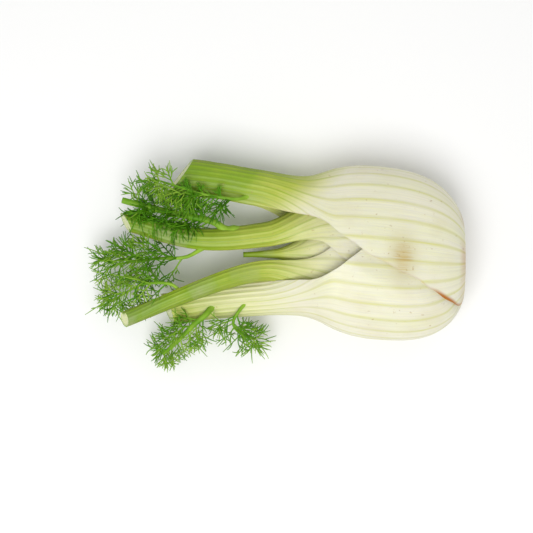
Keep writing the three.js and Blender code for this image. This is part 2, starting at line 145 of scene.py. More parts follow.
# How far each margin is from the midrib at x, for turns on the top (above 0) or the underside.
def wrapAt(leaf, x, turn):
    top, under = valueAt(leaf["wrapTop"], x), valueAt(leaf["wrapUnder"], x)
    return np.radians(np.where(turn > 0, top, under))


def leafThickness(leaf, x, turn):
    thin = bulb["marginThickness"]
    toRoot = eggHalf(leaf["egg"]["thickness"], x) / leaf["egg"]["thickness"]["half"]
    flesh = leaf["fleshy"] * toRoot * mix(bulb["sideShare"], 1, np.cos(turn) ** 2)
    toMargin = np.minimum(np.abs(turn) / wrapAt(leaf, x, turn), 1)
    return mix(np.maximum(flesh, thin), thin, toMargin**4)


def turnFrom(side, angle):
    turn = angle if side > 0 else math.pi - angle
    return np.arctan2(np.sin(turn), np.cos(turn))


# How deep a leaf lies under the leaf outside it.
def depthUnder(cover, x, angle):
    if cover is None:
        return np.zeros_like(angle)
    at = neckAt(cover["egg"], x)
    turn = turnFrom(cover["side"], angle)
    past = np.abs(turn) - wrapAt(cover, at, turn)
    covered = 1 - smoothstep(past, 0.02, math.radians(bulb["marginStep"]))
    return covered * (leafThickness(cover, at, turn) + bulb["nestGap"])


# Middle, across direction, half width and half thickness of a stalk at x.
def stalkFrame(form, x):
    def yAt(at):
        return valueAt([(p[0], p[1]) for p in form["stalk"]], at)

    z = valueAt([(p[0], p[2]) for p in form["stalk"]], x)
    across = Vector((-(yAt(x + 1) - yAt(x - 1)) / 2, 1, 0)).normalized()
    along = float(smoothstep(-x, -form["stalk"][0][0], -form["stalk"][-1][0]))
    width = mix(*form["halfWidth"], along)
    return (x, yAt(x), z), across, width, mix(*form["halfThickness"], along)


def stalkPoints(form, side, x, across, up):
    middle, way, width, thickness = stalkFrame(form, x)
    tipX = form["stalk"][-1][0]
    n = side * across * width
    m = up * thickness
    cutShare = float(smoothstep(-x, -(tipX + bulb["leanLength"]), -tipX))
    slant = cutShare * (form["lean"] * n * side + form["tilt"] * m)
    return np.stack([middle[0] + way.x * n + slant, middle[1] + way.y * n, middle[2] + m], axis=-1)


def stalkShare(form, x):
    return float(smoothstep(-x, -form["blendX"][0], -form["blendX"][1]))


def stations(rootX, tipX, steps):
    t = np.linspace(0, 1, steps + 1)
    return mix(rootX, tipX, t * (0.45 + 0.55 * t))


# Studio: a pale floor, one broad soft light overhead, a weaker one from behind, and a pale world.
studio = {
    "floorColour": "#F6F6F5",
    "worldColour": "#FFFFFF",
    "worldStrength": 0.5,
    "keyPlace": (-0.2, -0.42, 0.97),
    "keySize": 0.7,
    "keyPower": 8.3,
    "fillPlace": (0.3, 0.8, 0.5),
    "fillSize": 0.9,
    "fillPower": 1.5,
    "lens": 80,
    "sensor": 36,
    "mmPerPixel": 0.6,
    "imagePixels": 533,
    "floorReach": 3,  # metres each way
    "lookAt": (-59.7, -8.7),  # the image's middle on the part, mm
}


def linear(hexColour):
    channels = [int(hexColour[i : i + 2], 16) / 255 for i in (1, 3, 5)]
    return (*[c / 12.92 if c <= 0.04045 else ((c + 0.055) / 1.055) ** 2.4 for c in channels], 1)


# Adds a node with its settings and links, and gives one of its outputs. Settings that come as a tuple
# are for the sockets after the first, in their order: from low, from high, to low, to high of a range.
def addNode(material, kind, settings=None, links=None, stops=None, output=0):
    node = material.node_tree.nodes.new("ShaderNode" + kind)
    if isinstance(settings, tuple):
        settings = dict(enumerate(settings, 1))
    for name, value in (settings or {}).items():
        if isinstance(name, int) or name in node.inputs:
            node.inputs[name].default_value = value
        else:
            setattr(node, name, value)
    for name, source in (links or {}).items():
        material.node_tree.links.new(source, node.inputs[name])
    if stops:
        ramp = node.color_ramp
        while len(ramp.elements) < len(stops[0]):
            ramp.elements.new(0.5)
        for element, place, colour in zip(ramp.elements, *stops):
            element.position, element.color = place, linear(colour)
    return node.outputs[output] if node.outputs else None


def newMaterial(name):
    material = bpy.data.materials.new(name)
    material.use_nodes = True
    material.node_tree.nodes.clear()
    return material


def newObject(name, data):
    thing = bpy.data.objects.new(name, data)
    bpy.context.collection.objects.link(thing)
    return thing


def aimAt(thing, target):
    thing.rotation_euler = (Vector(target) - thing.location).to_track_quat("-Z", "Y").to_euler()


def buildStudio():
    seen = studio["mmPerPixel"] * studio["imagePixels"] * mm
    height = bulb["centre"][2] * mm + seen * studio["lens"] / studio["sensor"]
    lookX, lookY = [value * mm for value in studio["lookAt"]]
    cameraData = bpy.data.cameras.new("camera")
    cameraData.lens = studio["lens"]
    cameraData.sensor_width = studio["sensor"]
    camera = newObject("camera", cameraData)
    camera.location = (lookX, lookY, height)  # straight above, +Y up in the picture
    bpy.context.scene.camera = camera

    for name in ("key", "fill"):
        light = bpy.data.lights.new(name + "Light", "AREA")
        light.size = studio[name + "Size"]
        light.energy = studio[name + "Power"]
        lamp = newObject(name + "Light", light)
        lamp.location = studio[name + "Place"]
        aimAt(lamp, (lookX, 0, 0))

    world = bpy.data.worlds.new("paleRoom")
    world.use_nodes = True
    sky = world.node_tree.nodes["Background"]
    sky.inputs["Color"].default_value = linear(studio["worldColour"])
    sky.inputs["Strength"].default_value = studio["worldStrength"]
    bpy.context.scene.world = world
    bpy.context.scene.view_settings.view_transform = "Standard"  # white paper comes out white

    floorMesh = bpy.data.meshes.new("floor")
    reach = studio["floorReach"]
    corners = [(-reach, -reach, 0), (reach, -reach, 0), (reach, reach, 0), (-reach, reach, 0)]
    floorMesh.from_pydata(corners, [], [(0, 1, 2, 3)])
    floor = newObject("floor", floorMesh)
    paper = newMaterial("mattePaperSweep")
    finish = {"Base Color": linear(studio["floorColour"]), "Roughness": 0.9, "Specular IOR Level": 0.2}
    shader = addNode(paper, "BsdfPrincipled", finish)
    addNode(paper, "OutputMaterial", links={"Surface": shader})
    floorMesh.materials.append(paper)


buildStudio()
print("studio ready")

# Living leaf skin: grown, waxy and faintly see-through, so it has a soft sheen over a lit depth.
# The mesh carries "rib" (a whole number on each rib), "length" in mm, and "green", "dry" and the stain
# mark, partly a real stain and partly a painted shadow, from 0 to 1.
leafSkin = {
    "ivory": "#E4E1CC",
    "cream": "#DCDBA6",
    "lime": "#B6C04C",
    "leafGreen": "#86A60C",
    "deepGreen": "#648E00",
    "limeTint": "#D8DCA4",
    # olive: painted shade along the outer edge of a green stalk
    "paintedShadeOlive": "#7E8030",
    "bulbRib": "#CBCB7E",
    "stalkLine": "#56741A",
    "shade": "#CFC6A0",
    # stain: partly a bruise, partly a painted shadow
    "stainAndShadow": "#BBB07C",
    "stainCore": "#BE9C52",
    "fleck": "#A88C50",
    "dried": "#AC6419",
    "skinStops": (0, 0.22, 0.48, 0.74, 1),  # green at which ivory, cream, lime and both greens stand
    "ribStops": (0, 0.45, 1),
    "ribSpacingMm": 12,
    "ribWidthShare": 0.19,  # of the space between ribs: 2.3 mm of 12 mm on the bulb
    "lineWidthShare": 0.1,
    "lineStrength": (0, 1, 0.15, 0.5),  # of the finer lines, from the bulb to a green stalk
    "lineFade": (0.3, 0.62, 0.15, 0.85),
    "fibreMm": 0.9,  # a third of this in life; drawn as coarse as they show
    "fibreStretch": 0.035,  # strands to a mm of length
    "fibreTone": (0.25, 0.75, 0.9, 1.07),
    "edgeBreak": 0.34,  # how far fibres and patches push the green to and fro
    "blotch": 0.9,
    "cloudAcross": 0.45,  # clouds to a rib, and to a mm of length
    "cloudAlong": 0.016,
    "cloudShare": (0.42, 0.7, 0, 0.5),
    "cloudFade": (0, 0.3, 0, 1),
    # how much painted shade lies along the midrib edge
    "paintedShadeShare": (0.4, 3.2, 0.6, 0),  # by ribs from the midrib
    "patchMm": 22,
    "patchShare": (0.5, 0.72, 0, 0.3),
    "stainStreaks": (0.3, 0.7, 0.4, 1),
    "stainCoreShare": (0.4, 0.95, 0, 0.7),
    "fleckMm": 2.6,
    "fleckNearStain": 0.07,
    "fleckShare": (0.69, 0.8, 0, 0.7),
    "roughness": (0, 1, 0.35, 0.54),
    "ior": 1.45,
    "depthMm": (2.4, 2.0, 1.0),
    "reliefMm": 0.4,
}


def makeLeafSkin(look):
    m = newMaterial("waxyLeafSkin")
    rib, length, green, dry, stainAndShadow = [
        addNode(m, "Attribute", {"attribute_name": name}, output="Fac")
        for name in ("rib", "length", "green", "dry", "stainAndShadow")
    ]
    place = addNode(m, "TexCoord", output="Object")

    # Lengthwise fibres: noise drawn out along the leaf.
    perRib = look["ribSpacingMm"] / look["fibreMm"]
    across = addNode(m, "Math", {"operation": "MULTIPLY", 1: perRib}, {0: rib})
    along = addNode(m, "Math", {"operation": "MULTIPLY", 1: look["fibreStretch"]}, {0: length})
    strand = addNode(m, "CombineXYZ", links={"X": across, "Y": along})
    fibre = addNode(m, "TexNoise", {"Scale": 1, "Detail": 3, "Roughness": 0.6}, {"Vector": strand})
    patches = addNode(m, "TexNoise", {"Scale": 1000 / look["patchMm"], "Detail": 4}, {"Vector": place})

    # The skin's colour from ivory at the bulb to green on the stalk, its edge broken up along the fibres.
    push, swing = look["edgeBreak"], look["blotch"]
    unevenness = addNode(m, "Math", {"operation": "MULTIPLY_ADD", 1: push, 2: -push / 2}, {0: fibre})
    blotches = addNode(m, "Math", {"operation": "MULTIPLY_ADD", 1: swing, 2: -swing / 2}, {0: patches})
    blotched = addNode(m, "Math", {"operation": "MULTIPLY_ADD"}, {0: blotches, 1: green, 2: green})
    greenish = addNode(m, "Math", {"operation": "ADD"}, {0: blotched, 1: unevenness})
    skinColours = [look[name] for name in ("ivory", "cream", "lime", "leafGreen", "deepGreen")]
    body = addNode(m, "ValToRGB", links={"Fac": greenish}, stops=(look["skinStops"], skinColours))

    # Long soft clouds of lime on the ivory, as the next leaf's green shows through.
    tintAcross = addNode(m, "Math", {"operation": "MULTIPLY", 1: look["cloudAcross"]}, {0: rib})
    tintAlong = addNode(m, "Math", {"operation": "MULTIPLY", 1: look["cloudAlong"]}, {0: length})
    tintPlace = addNode(m, "CombineXYZ", {"Z": 4}, {"X": tintAcross, "Y": tintAlong})
    clouds = addNode(m, "TexNoise", {"Scale": 1, "Detail": 3}, {"Vector": tintPlace})
    tintShare = addNode(m, "MapRange", look["cloudShare"], {"Value": clouds})
    tint = {"data_type": "RGBA", 7: linear(look["limeTint"])}
    tinted = addNode(m, "Mix", tint, {0: tintShare, 6: body}, output=2)
    fade = addNode(m, "MapRange", look["cloudFade"], {"Value": green})
    clouded = addNode(m, "Mix", {"data_type": "RGBA"}, {0: fade, 6: tinted, 7: body}, output=2)

    # Painted shade: a green stalk is darkened to olive along its midrib, the outer edge that rounds away
    # from view.
    fromBack = addNode(m, "Math", {"operation": "ABSOLUTE"}, {0: rib})
    nearBack = addNode(m, "MapRange", look["paintedShadeShare"], {"Value": fromBack})
    paintedShadeShare = addNode(m, "Math", {"operation": "MULTIPLY"}, {0: nearBack, 1: green})
    back = {"data_type": "RGBA", 7: linear(look["paintedShadeOlive"])}
    paintedShadeOlive = addNode(m, "Mix", back, {0: paintedShadeShare, 6: clouded}, output=2)

    # Ribs: lime lines on the ivory bulb, darker green lines on the stalk.
    fraction = addNode(m, "Math", {"operation": "PINGPONG", 1: 0.5}, {0: rib})
    ribEdge = {"From Max": look["ribWidthShare"], "To Min": 1, "To Max": 0}
    onRib = addNode(m, "MapRange", {**ribEdge, "interpolation_type": "SMOOTHSTEP"}, {"Value": fraction})
    ribColours = [look[name] for name in ("bulbRib", "leafGreen", "stalkLine")]
    ribTint = addNode(m, "ValToRGB", links={"Fac": green}, stops=(look["ribStops"], ribColours))
    faint = addNode(m, "MapRange", look["lineFade"], {"Value": fibre})
    # Finer lines halfway between the ribs: 1.6 mm apart on a stalk.
    halfway = addNode(m, "Math", {"operation": "PINGPONG", 1: 0.25}, {0: rib})
    onLine = addNode(m, "MapRange", (0, look["lineWidthShare"], 1, 0), {"Value": halfway})
    lineStrength = addNode(m, "MapRange", look["lineStrength"], {"Value": green})
    fineLine = addNode(m, "Math", {"operation": "MULTIPLY"}, {0: onLine, 1: lineStrength})
    anyLine = addNode(m, "Math", {"operation": "MAXIMUM"}, {0: onRib, 1: fineLine})
    ribShare = addNode(m, "Math", {"operation": "MULTIPLY"}, {0: anyLine, 1: faint})
    ribbed = addNode(m, "Mix", {"data_type": "RGBA"}, {0: ribShare, 6: paintedShadeOlive, 7: ribTint}, output=2)

    # Fine fibres darken and lighten the skin a little.
    fibreTone = addNode(m, "MapRange", look["fibreTone"], {"Value": fibre})
    skin = addNode(m, "VectorMath", {"operation": "SCALE"}, {0: ribbed, "Scale": fibreTone})

    # Over it, in turn: tan shade in patches, a soft olive stain that is partly where the skin was bruised
    # and partly a painted shadow, tan in its middle, small flecks, and the dried margins.
    patchShare = addNode(m, "MapRange", look["patchShare"], {"Value": patches})
    streaks = addNode(m, "MapRange", look["stainStreaks"], {"Value": fibre})
    stainAndShadowShare = addNode(m, "Math", {"operation": "MULTIPLY"}, {0: stainAndShadow, 1: streaks})
    coreShare = addNode(m, "MapRange", look["stainCoreShare"], {"Value": stainAndShadowShare})
    flecks = addNode(m, "TexNoise", {"Scale": 1000 / look["fleckMm"], "Detail": 2}, {"Vector": place})
    nearStain = {"operation": "MULTIPLY_ADD", 1: look["fleckNearStain"]}
    fleckSpread = addNode(m, "Math", nearStain, {0: stainAndShadow, 2: flecks})
    fleckShare = addNode(m, "MapRange", look["fleckShare"], {"Value": fleckSpread})
    shares = (patchShare, stainAndShadowShare, coreShare, fleckShare, dry)
    for share, colour in zip(shares, ("shade", "stainAndShadow", "stainCore", "fleck", "dried")):
        layer = {"data_type": "RGBA", 7: linear(look[colour])}
        skin = addNode(m, "Mix", layer, {0: share, 6: skin}, output=2)

    relief = addNode(m, "Bump", {"Strength": 0.35, "Distance": look["reliefMm"] * mm}, {"Height": fibre})
    wax = addNode(m, "MapRange", look["roughness"], {"Value": patches})
    finish = {
        "IOR": look["ior"],
        "Coat Weight": 0.1,
        "Coat Roughness": 0.28,
        "Subsurface Weight": 0.18,
        "Subsurface Radius": [value * mm for value in look["depthMm"]],
        "Subsurface Scale": 1.0,
    }
    shader = addNode(m, "BsdfPrincipled", finish, {"Base Color": skin, "Roughness": wax, "Normal": relief})
    addNode(m, "OutputMaterial", links={"Surface": shader})
    return m


# Knife-cut flesh of a stalk: wet and pale inside a green rim, with a row of darker strands near the rim.
cutFlesh = {
    "pith": "#D9DDA6",
    "rim": "#7FA232",
    "strand": "#9DAE58",
    "rimStops": (0, 0.72, 0.9, 1),  # where pith ends and rim begins, from the middle out
    "ringStops": (0.5, 0.6, 0.68, 0.76),  # where the row of strands comes and goes
    "strandEdge": (0.12, 0.26, 1, 0),
    "grainTone": (0.3, 0.7, 0.86, 1.06),
    "roughness": 0.33,
    "ior": 1.4,
    "grainMm": 0.8,
    "reliefMm": 0.3,
    "depthMm": (2, 2, 1),
}


def makeCutFlesh(look):
    m = newMaterial("knifeCutFlesh")
    rim, rib = [addNode(m, "Attribute", {"attribute_name": name}, output="Fac") for name in ("rim", "rib")]
    place = addNode(m, "TexCoord", output="Object")
    grain = addNode(m, "TexNoise", {"Scale": 1000 / look["grainMm"], "Detail": 3}, {"Vector": place})
    rimColours = [look[name] for name in ("pith", "pith", "rim", "rim")]
    body = addNode(m, "ValToRGB", links={"Fac": rim}, stops=(look["rimStops"], rimColours))
    toRib = addNode(m, "Math", {"operation": "PINGPONG", 1: 0.5}, {0: rib})
    onRib = addNode(m, "MapRange", look["strandEdge"], {"Value": toRib})
    ringColours = ("#000000", "#FFFFFF", "#FFFFFF", "#000000")
    ring = addNode(m, "ValToRGB", links={"Fac": rim}, stops=(look["ringStops"], ringColours))
    dots = addNode(m, "Math", {"operation": "MULTIPLY"}, {0: onRib, 1: ring})
    strand = {"data_type": "RGBA", 7: linear(look["strand"])}
    dotted = addNode(m, "Mix", strand, {0: dots, 6: body}, output=2)
    tone = addNode(m, "MapRange", look["grainTone"], {"Value": grain})
    toned = addNode(m, "VectorMath", {"operation": "SCALE"}, {0: dotted, "Scale": tone})
    relief = addNode(m, "Bump", {"Strength": 0.5, "Distance": look["reliefMm"] * mm}, {"Height": grain})
    finish = {
        "IOR": look["ior"],
        "Roughness": look["roughness"],
        "Subsurface Weight": 0.2,
        "Subsurface Radius": [value * mm for value in look["depthMm"]],
        "Subsurface Scale": 1.0,
    }
    shader = addNode(m, "BsdfPrincipled", finish, {"Base Color": toned, "Normal": relief})
    addNode(m, "OutputMaterial", links={"Surface": shader})
    return m


# Living thread leaves: grown thin and satin, each thread a little lighter or darker than the next.
threadLeaf = {
    "dark": "#265800",
    "middle": "#4F8A08",
    "light": "#92B83A",
    "patchMm": 9,
    "patchTone": 0.7,
    "roughness": 0.46,
    "ior": 1.45,
}


def makeThreadLeaf(look):
    m = newMaterial("satinThreadLeaf")
    tone = addNode(m, "Attribute", {"attribute_name": "tone"}, output="Fac")
    place = addNode(m, "TexCoord", output="Object")
    patches = addNode(m, "TexNoise", {"Scale": 1000 / look["patchMm"], "Detail": 2}, {"Vector": place})
    swing = look["patchTone"]
    shift = addNode(m, "Math", {"operation": "MULTIPLY_ADD", 1: swing, 2: -swing / 2}, {0: patches})
    share = addNode(m, "Math", {"operation": "ADD"}, {0: tone, 1: shift})
    colours = [look[name] for name in ("dark", "middle", "light")]
    body = addNode(m, "ValToRGB", links={"Fac": share}, stops=((0, 0.5, 1), colours))
    finish = {"IOR": look["ior"], "Roughness": look["roughness"], "Specular IOR Level": 0.2}
    shader = addNode(m, "BsdfPrincipled", finish, {"Base Color": body})
    addNode(m, "OutputMaterial", links={"Surface": shader})
    return m


# The trimmed root plate: knife cut, then dried in air, so it is matt and tan with browner rings.
rootCut = {
    "fresh": "#E6DDBF",
    "tan": "#CDB98B",
    "brown": "#8E6A3C",
    "stops": (0, 0.3, 0.6, 0.85, 1),  # from the middle to the rim: tan, fresh, tan, fresh, brown
    "grainMm": 1.1,
    "grainTone": (0.3, 0.7, 0.82, 1.08),
    "blotsPerMetre": 180,
    "blotShift": 0.5,
    "roughness": 0.7,
    "ior": 1.4,
    "reliefMm": 0.5,
}


def makeRootCut(look):
    m = newMaterial("airDriedRootCut")
    place = addNode(m, "TexCoord", output="Object")
    rim = addNode(m, "Attribute", {"attribute_name": "rim"}, output="Fac")
    grain = addNode(m, "TexNoise", {"Scale": 1000 / look["grainMm"], "Detail": 4}, {"Vector": place})
    blots = addNode(m, "TexNoise", {"Scale": look["blotsPerMetre"], "Detail": 3}, {"Vector": place})
    swing = look["blotShift"]
    spread = addNode(m, "Math", {"operation": "MULTIPLY_ADD", 1: swing, 2: -swing / 2}, {0: blots})
    share = addNode(m, "Math", {"operation": "ADD"}, {0: rim, 1: spread})
    colours = [look[name] for name in ("tan", "fresh", "tan", "fresh", "brown")]
    body = addNode(m, "ValToRGB", links={"Fac": share}, stops=(look["stops"], colours))
    tone = addNode(m, "MapRange", look["grainTone"], {"Value": grain})
    toned = addNode(m, "VectorMath", {"operation": "SCALE"}, {0: body, "Scale": tone})
    relief = addNode(m, "Bump", {"Strength": 0.6, "Distance": look["reliefMm"] * mm}, {"Height": grain})
    finish = {"IOR": look["ior"], "Roughness": look["roughness"]}
    shader = addNode(m, "BsdfPrincipled", finish, {"Base Color": toned, "Normal": relief})
    addNode(m, "OutputMaterial", links={"Surface": shader})
    return m


skinMaterial = makeLeafSkin(leafSkin)
cutMaterial = makeCutFlesh(cutFlesh)
threadMaterial = makeThreadLeaf(threadLeaf)
rootMaterial = makeRootCut(rootCut)
print("materials ready")


# Quads round a run of rings, and a face over each end.
def ringFaces(rows, sides, first=0, ends=True):
    faces = []
    for row in range(rows - 1):
        for i in range(sides):
            a, b = first + row * sides + i, first + row * sides + (i + 1) % sides
            faces.append((a, b, b + sides, a + sides))
    if ends:
        faces.append(tuple(first + i for i in range(sides - 1, -1, -1)))
        faces.append(tuple(first + (rows - 1) * sides + i for i in range(sides)))
    return faces


# A mesh object from points in the bulb's frame (mm), placed in the row's frame and pressed flat on the
# floor. The points, and each value that they carry, come as a list of arrays.
def addPiece(form, points, faces, carried, materials, faceMaterials=None):
    name, node, slotName = form["piece"], form["node"], form["slot"]
    placed = (np.concatenate(points) + np.array(bulb["centre"])) * mm
    placed[:, 2] = np.maximum(placed[:, 2], 0)
    mesh = bpy.data.meshes.new(name)
    mesh.from_pydata(placed.tolist(), [], faces)
    for label, values in carried.items():
        attribute = mesh.attributes.new(label, "FLOAT", "POINT")
        attribute.data.foreach_set("value", np.concatenate(values))
    for material in materials:
        mesh.materials.append(material)
    if faceMaterials is not None:
        mesh.polygons.foreach_set("material_index", faceMaterials)
    mesh.polygons.foreach_set("use_smooth", [True] * len(mesh.polygons))
    mesh.update()
    if sum(face.area * face.normal.dot(face.center) for face in mesh.polygons) < 0:
        mesh.flip_normals()  # a mirrored form is drawn inside out
    piece = newObject(name, mesh)
    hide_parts(node)
    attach(piece, "root")
    return piece


# Leaf bases with their stalks, outermost first. Turns are in degrees from the midrib, lengths in mm.
leafShared = {
    "acrossSteps": 150,
    "alongSteps": 150,
    "capSteps": 8,
    "marginCrowding": 0.82,  # draws the points across together towards the margins, up to 1
    "marginRounding": 24,
    "ribAngle": 13.5,
    "ribOnBulb": (0.3, 0.16),  # height in mm, and half width against the space
    "swell": (0.35, 0.2),  # slow unevenness of the bulb and of a stalk, mm
    "swellLength": 26,
    "wobble": (0.012, 9),  # of the margins, against their turn, and its length
    "hollow": 0.12,  # how far the inner face of a stalk bulges
    "greenCurve": 1.4,
    "dryEdge": (0.98, 0.952),  # where the dried margin begins, of the half width, and near the root
    "dryFrom": (20, 31),  # x where that browning sets in
    "dryness": (0.25, 1.4),
    "rootRim": 5,  # how far the root end is dried too
    # where the stain lies and how far it reaches: partly a bruise, partly a painted shadow
    "bruiseAndShadowAt": (5, -3),
    "bruiseAndShadowReach": (8, 13),
    "cutSink": 0.5,  # how far a cut end is sunk
}
# What the two outer leaves share, then the two inner ones.
outerShared = {
    "slot": "outer_leaf",
    "egg": outerEgg,
    "halfThickness": (9, 7),
    "closing": 140,
    "stalkRibs": 9,
    "ribDepth": 0.5,
}
innerShared = {
    "slot": "inner_leaf",
    "egg": innerEgg,
    "blendX": (-24, -74),
    "closing": 150,
    "stalkRibs": 6,
    "ribDepth": 0.4,
    "greenToMargin": 10,
}
leafOne = {
    **outerShared,
    "piece": "outerLeafUpper",
    "node": "leaf_1_outer_base_and_stalk",
    "side": 1,
    "rootX": 43.5,
    "fleshy": 5.5,
    "wrapTop": [(43.5, 160), (35, 131), (17, 109), (0, 99), (-20, 88), (-45, 66)],
    "wrapUnder": [(43.5, 164), (32, 148), (10, 130), (-15, 118), (-35, 106), (-54, 76)],
    "blendX": (-32, -82),
    "stalk": [(-45, 35, 0), (-78, 37.1, 1), (-102, 41.2, 2), (-127, 43.6, 2)],
    "halfWidth": (12.5, 12.2),
    "lean": 0.7,
    "tilt": 0.3,
    "greenFrom": -22,  # x at the midrib where green begins
    "greenRun": 40,
    "greenToMargin": 28,  # mm further out that the margins turn green
    "seed": 3,
}
leafTwo = {
    **outerShared,
    "piece": "outerLeafLower",
    "node": "leaf_2_outer_base_and_stalk",
    "side": -1,
    "rootX": 43.2,
    "fleshy": 5,
    "wrapTop": [(43.5, 162), (35, 148), (17, 124), (0, 107), (-20, 90), (-45, 64)],
    "wrapUnder": [(43.5, 160), (30, 138), (10, 114), (-15, 96), (-35, 84), (-54, 66)],
    "blendX": (-32, -78),
    "stalk": [(-45, -27, 0), (-70, -26.5, -1.5), (-100, -29, -4), (-134, -33.4, -5)],
    "halfWidth": (12, 10.6),
    "lean": 0.3,
    "tilt": 0.35,
    "greenFrom": -46,
    "greenRun": 120,
    "greenToMargin": 18,
    "seed": 5,
}
leafThree = {
    **innerShared,
    "piece": "innerLeafUpper",
    "node": "leaf_3_inner_base_and_stalk",
    "side": 1,
    "rootX": 35.5,
    "fleshy": 4.4,
    "wrapTop": [(36, 160), (15, 134), (-5, 114), (-25, 100), (-50, 78)],
    "wrapUnder": [(36, 160), (15, 130), (-5, 110), (-25, 94), (-50, 74)],
    "stalk": [(-40, 17, 0), (-75, 10, 2), (-115, 7.5, 3), (-158, 17.4, 4)],
    "halfWidth": (8.5, 6.4),
    "halfThickness": (7, 5.4),
    "lean": -0.6,
    "tilt": 0.4,
    "greenFrom": -20,
    "greenRun": 60,
    "seed": 7,
}
leafFour = {
    **innerShared,
    "piece": "innerLeafLower",
    "node": "leaf_4_inner_base_and_stalk",
    "side": -1,
    "rootX": 33,
    "fleshy": 4,
    "wrapTop": [(36, 158), (15, 136), (-5, 118), (-25, 104), (-50, 80)],
    "wrapUnder": [(36, 158), (15, 130), (-5, 112), (-25, 98), (-50, 76)],
    "stalk": [(-40, -15, 0), (-75, -11, 3.8), (-105, -18.5, 10.6), (-158, -40, 10)],
    "halfWidth": (7.5, 4.9),
    "halfThickness": (6.5, 4.7),
    "lean": 0,
    "tilt": 0.6,
    "greenFrom": -22,
    "greenRun": 64,
    "seed": 9,
}
leaves = [leafOne, leafTwo, leafThree, leafFour]


# How far the skin lies under the rib crests, mm: narrow raised ribs on the bulb, rounded ones on stalks.
def ribRelief(leaf, phase, share):
    height, halfWidth = leafShared["ribOnBulb"]
    toCrest = np.abs(phase - np.round(phase)) * 2
    onBulb = height * (1 - np.exp(-((toCrest / halfWidth) ** 2)))
    onStalk = leaf["ribDepth"] * np.sin(math.pi / 2 * toCrest) ** 2
    return mix(onBulb, onStalk, share)


def slowSwell(leaf, x, angle):
    along = x / leafShared["swellLength"]
    around = [(3 * math.cos(a) / 2, 3 * math.sin(a) / 2 + leaf["seed"]) for a in angle]
    return np.array([noise.noise(Vector((along, y, z))) for y, z in around])


# One section: points of the skin from margin to margin, points of the inner face, and what colours them.
def leafSection(leaf, cover, x):
    shared, egg = leafShared, leaf["egg"]
    share = stalkShare(leaf, x)
    at = neckAt(egg, x)
    u = np.sin(np.linspace(-1, 1, shared["acrossSteps"] + 1) * math.pi / 2 * shared["marginCrowding"])
    u /= u[-1]
    amount, length = shared["wobble"]
    wobble = 1 + amount * noise.noise(Vector((x / length, leaf["seed"], 0)))
    turn = u * wrapAt(leaf, at, u) * wobble
    angle = turn if leaf["side"] > 0 else math.pi - turn
    close = math.radians(leaf["closing"])
    phase = mix(np.degrees(turn) / shared["ribAngle"], u * leaf["stalkRibs"], share)
    toRoot = eggHalf(egg["thickness"], at) / egg["thickness"]["half"]
    swell = slowSwell(leaf, x, angle)
    swellOnBulb, swellOnStalk = [depth * (swell + 1) for depth in shared["swell"]]
    relief = ribRelief(leaf, phase, share) * toRoot
    edge = np.sqrt(np.clip(1 - np.abs(u) ** shared["marginRounding"], 0.02, 1))
    depth = depthUnder(cover, x, angle)
    faceDepth = depth + leafThickness(leaf, at, turn) * edge + swellOnBulb * toRoot
    size = 1 - (relief + swellOnStalk) / leaf["halfWidth"][0]
    back = math.cos(close) + leafShared["hollow"] * (1 - u * u)
    onStalk = stalkPoints(leaf, leaf["side"], x, np.cos(u * close) * size, np.sin(u * close) * size)
    skin = mix(eggPoints(egg, x, angle, depth + relief + swellOnBulb * toRoot), onStalk, share)
    faceOnStalk = stalkPoints(leaf, leaf["side"], x, back, math.sin(close) * u * 0.98)
    face = mix(eggPoints(egg, x, angle, faceDepth), faceOnStalk, share)
    fromBulb = leaf["greenFrom"] - x - leaf["greenToMargin"] * np.abs(u) ** shared["greenCurve"]
    # Green turns quickly at first, then ever more slowly.
    green = 1 - np.exp(-np.maximum(fromBulb / leaf["greenRun"], 0))
    nearRoot = float(smoothstep(x, *shared["dryFrom"]))
    atEdge = smoothstep(np.abs(u), mix(*shared["dryEdge"], nearRoot), 1.0)
    dry = atEdge * mix(*shared["dryness"], nearRoot) * np.clip(0.6 + 1.5 * swell, 0, 1)
    rootRim = 0.5 * float(smoothstep(x, leaf["rootX"] - shared["rootRim"], leaf["rootX"]))
    dry = np.clip(np.maximum(dry, rootRim * np.clip(0.5 + swell, 0, 1)), 0, 1)
    return skin, face, phase, green, dry


# How strong the stain is, on the top alone: partly a bruise, partly a painted shadow.
def bruiseAndShadow(points):
    far = [(points[:, k] - leafShared["bruiseAndShadowAt"][k]) / leafShared["bruiseAndShadowReach"][k] for k in range(2)]
    return np.exp(-(far[0] ** 2) - far[1] ** 2) * (points[:, 2] > 0)


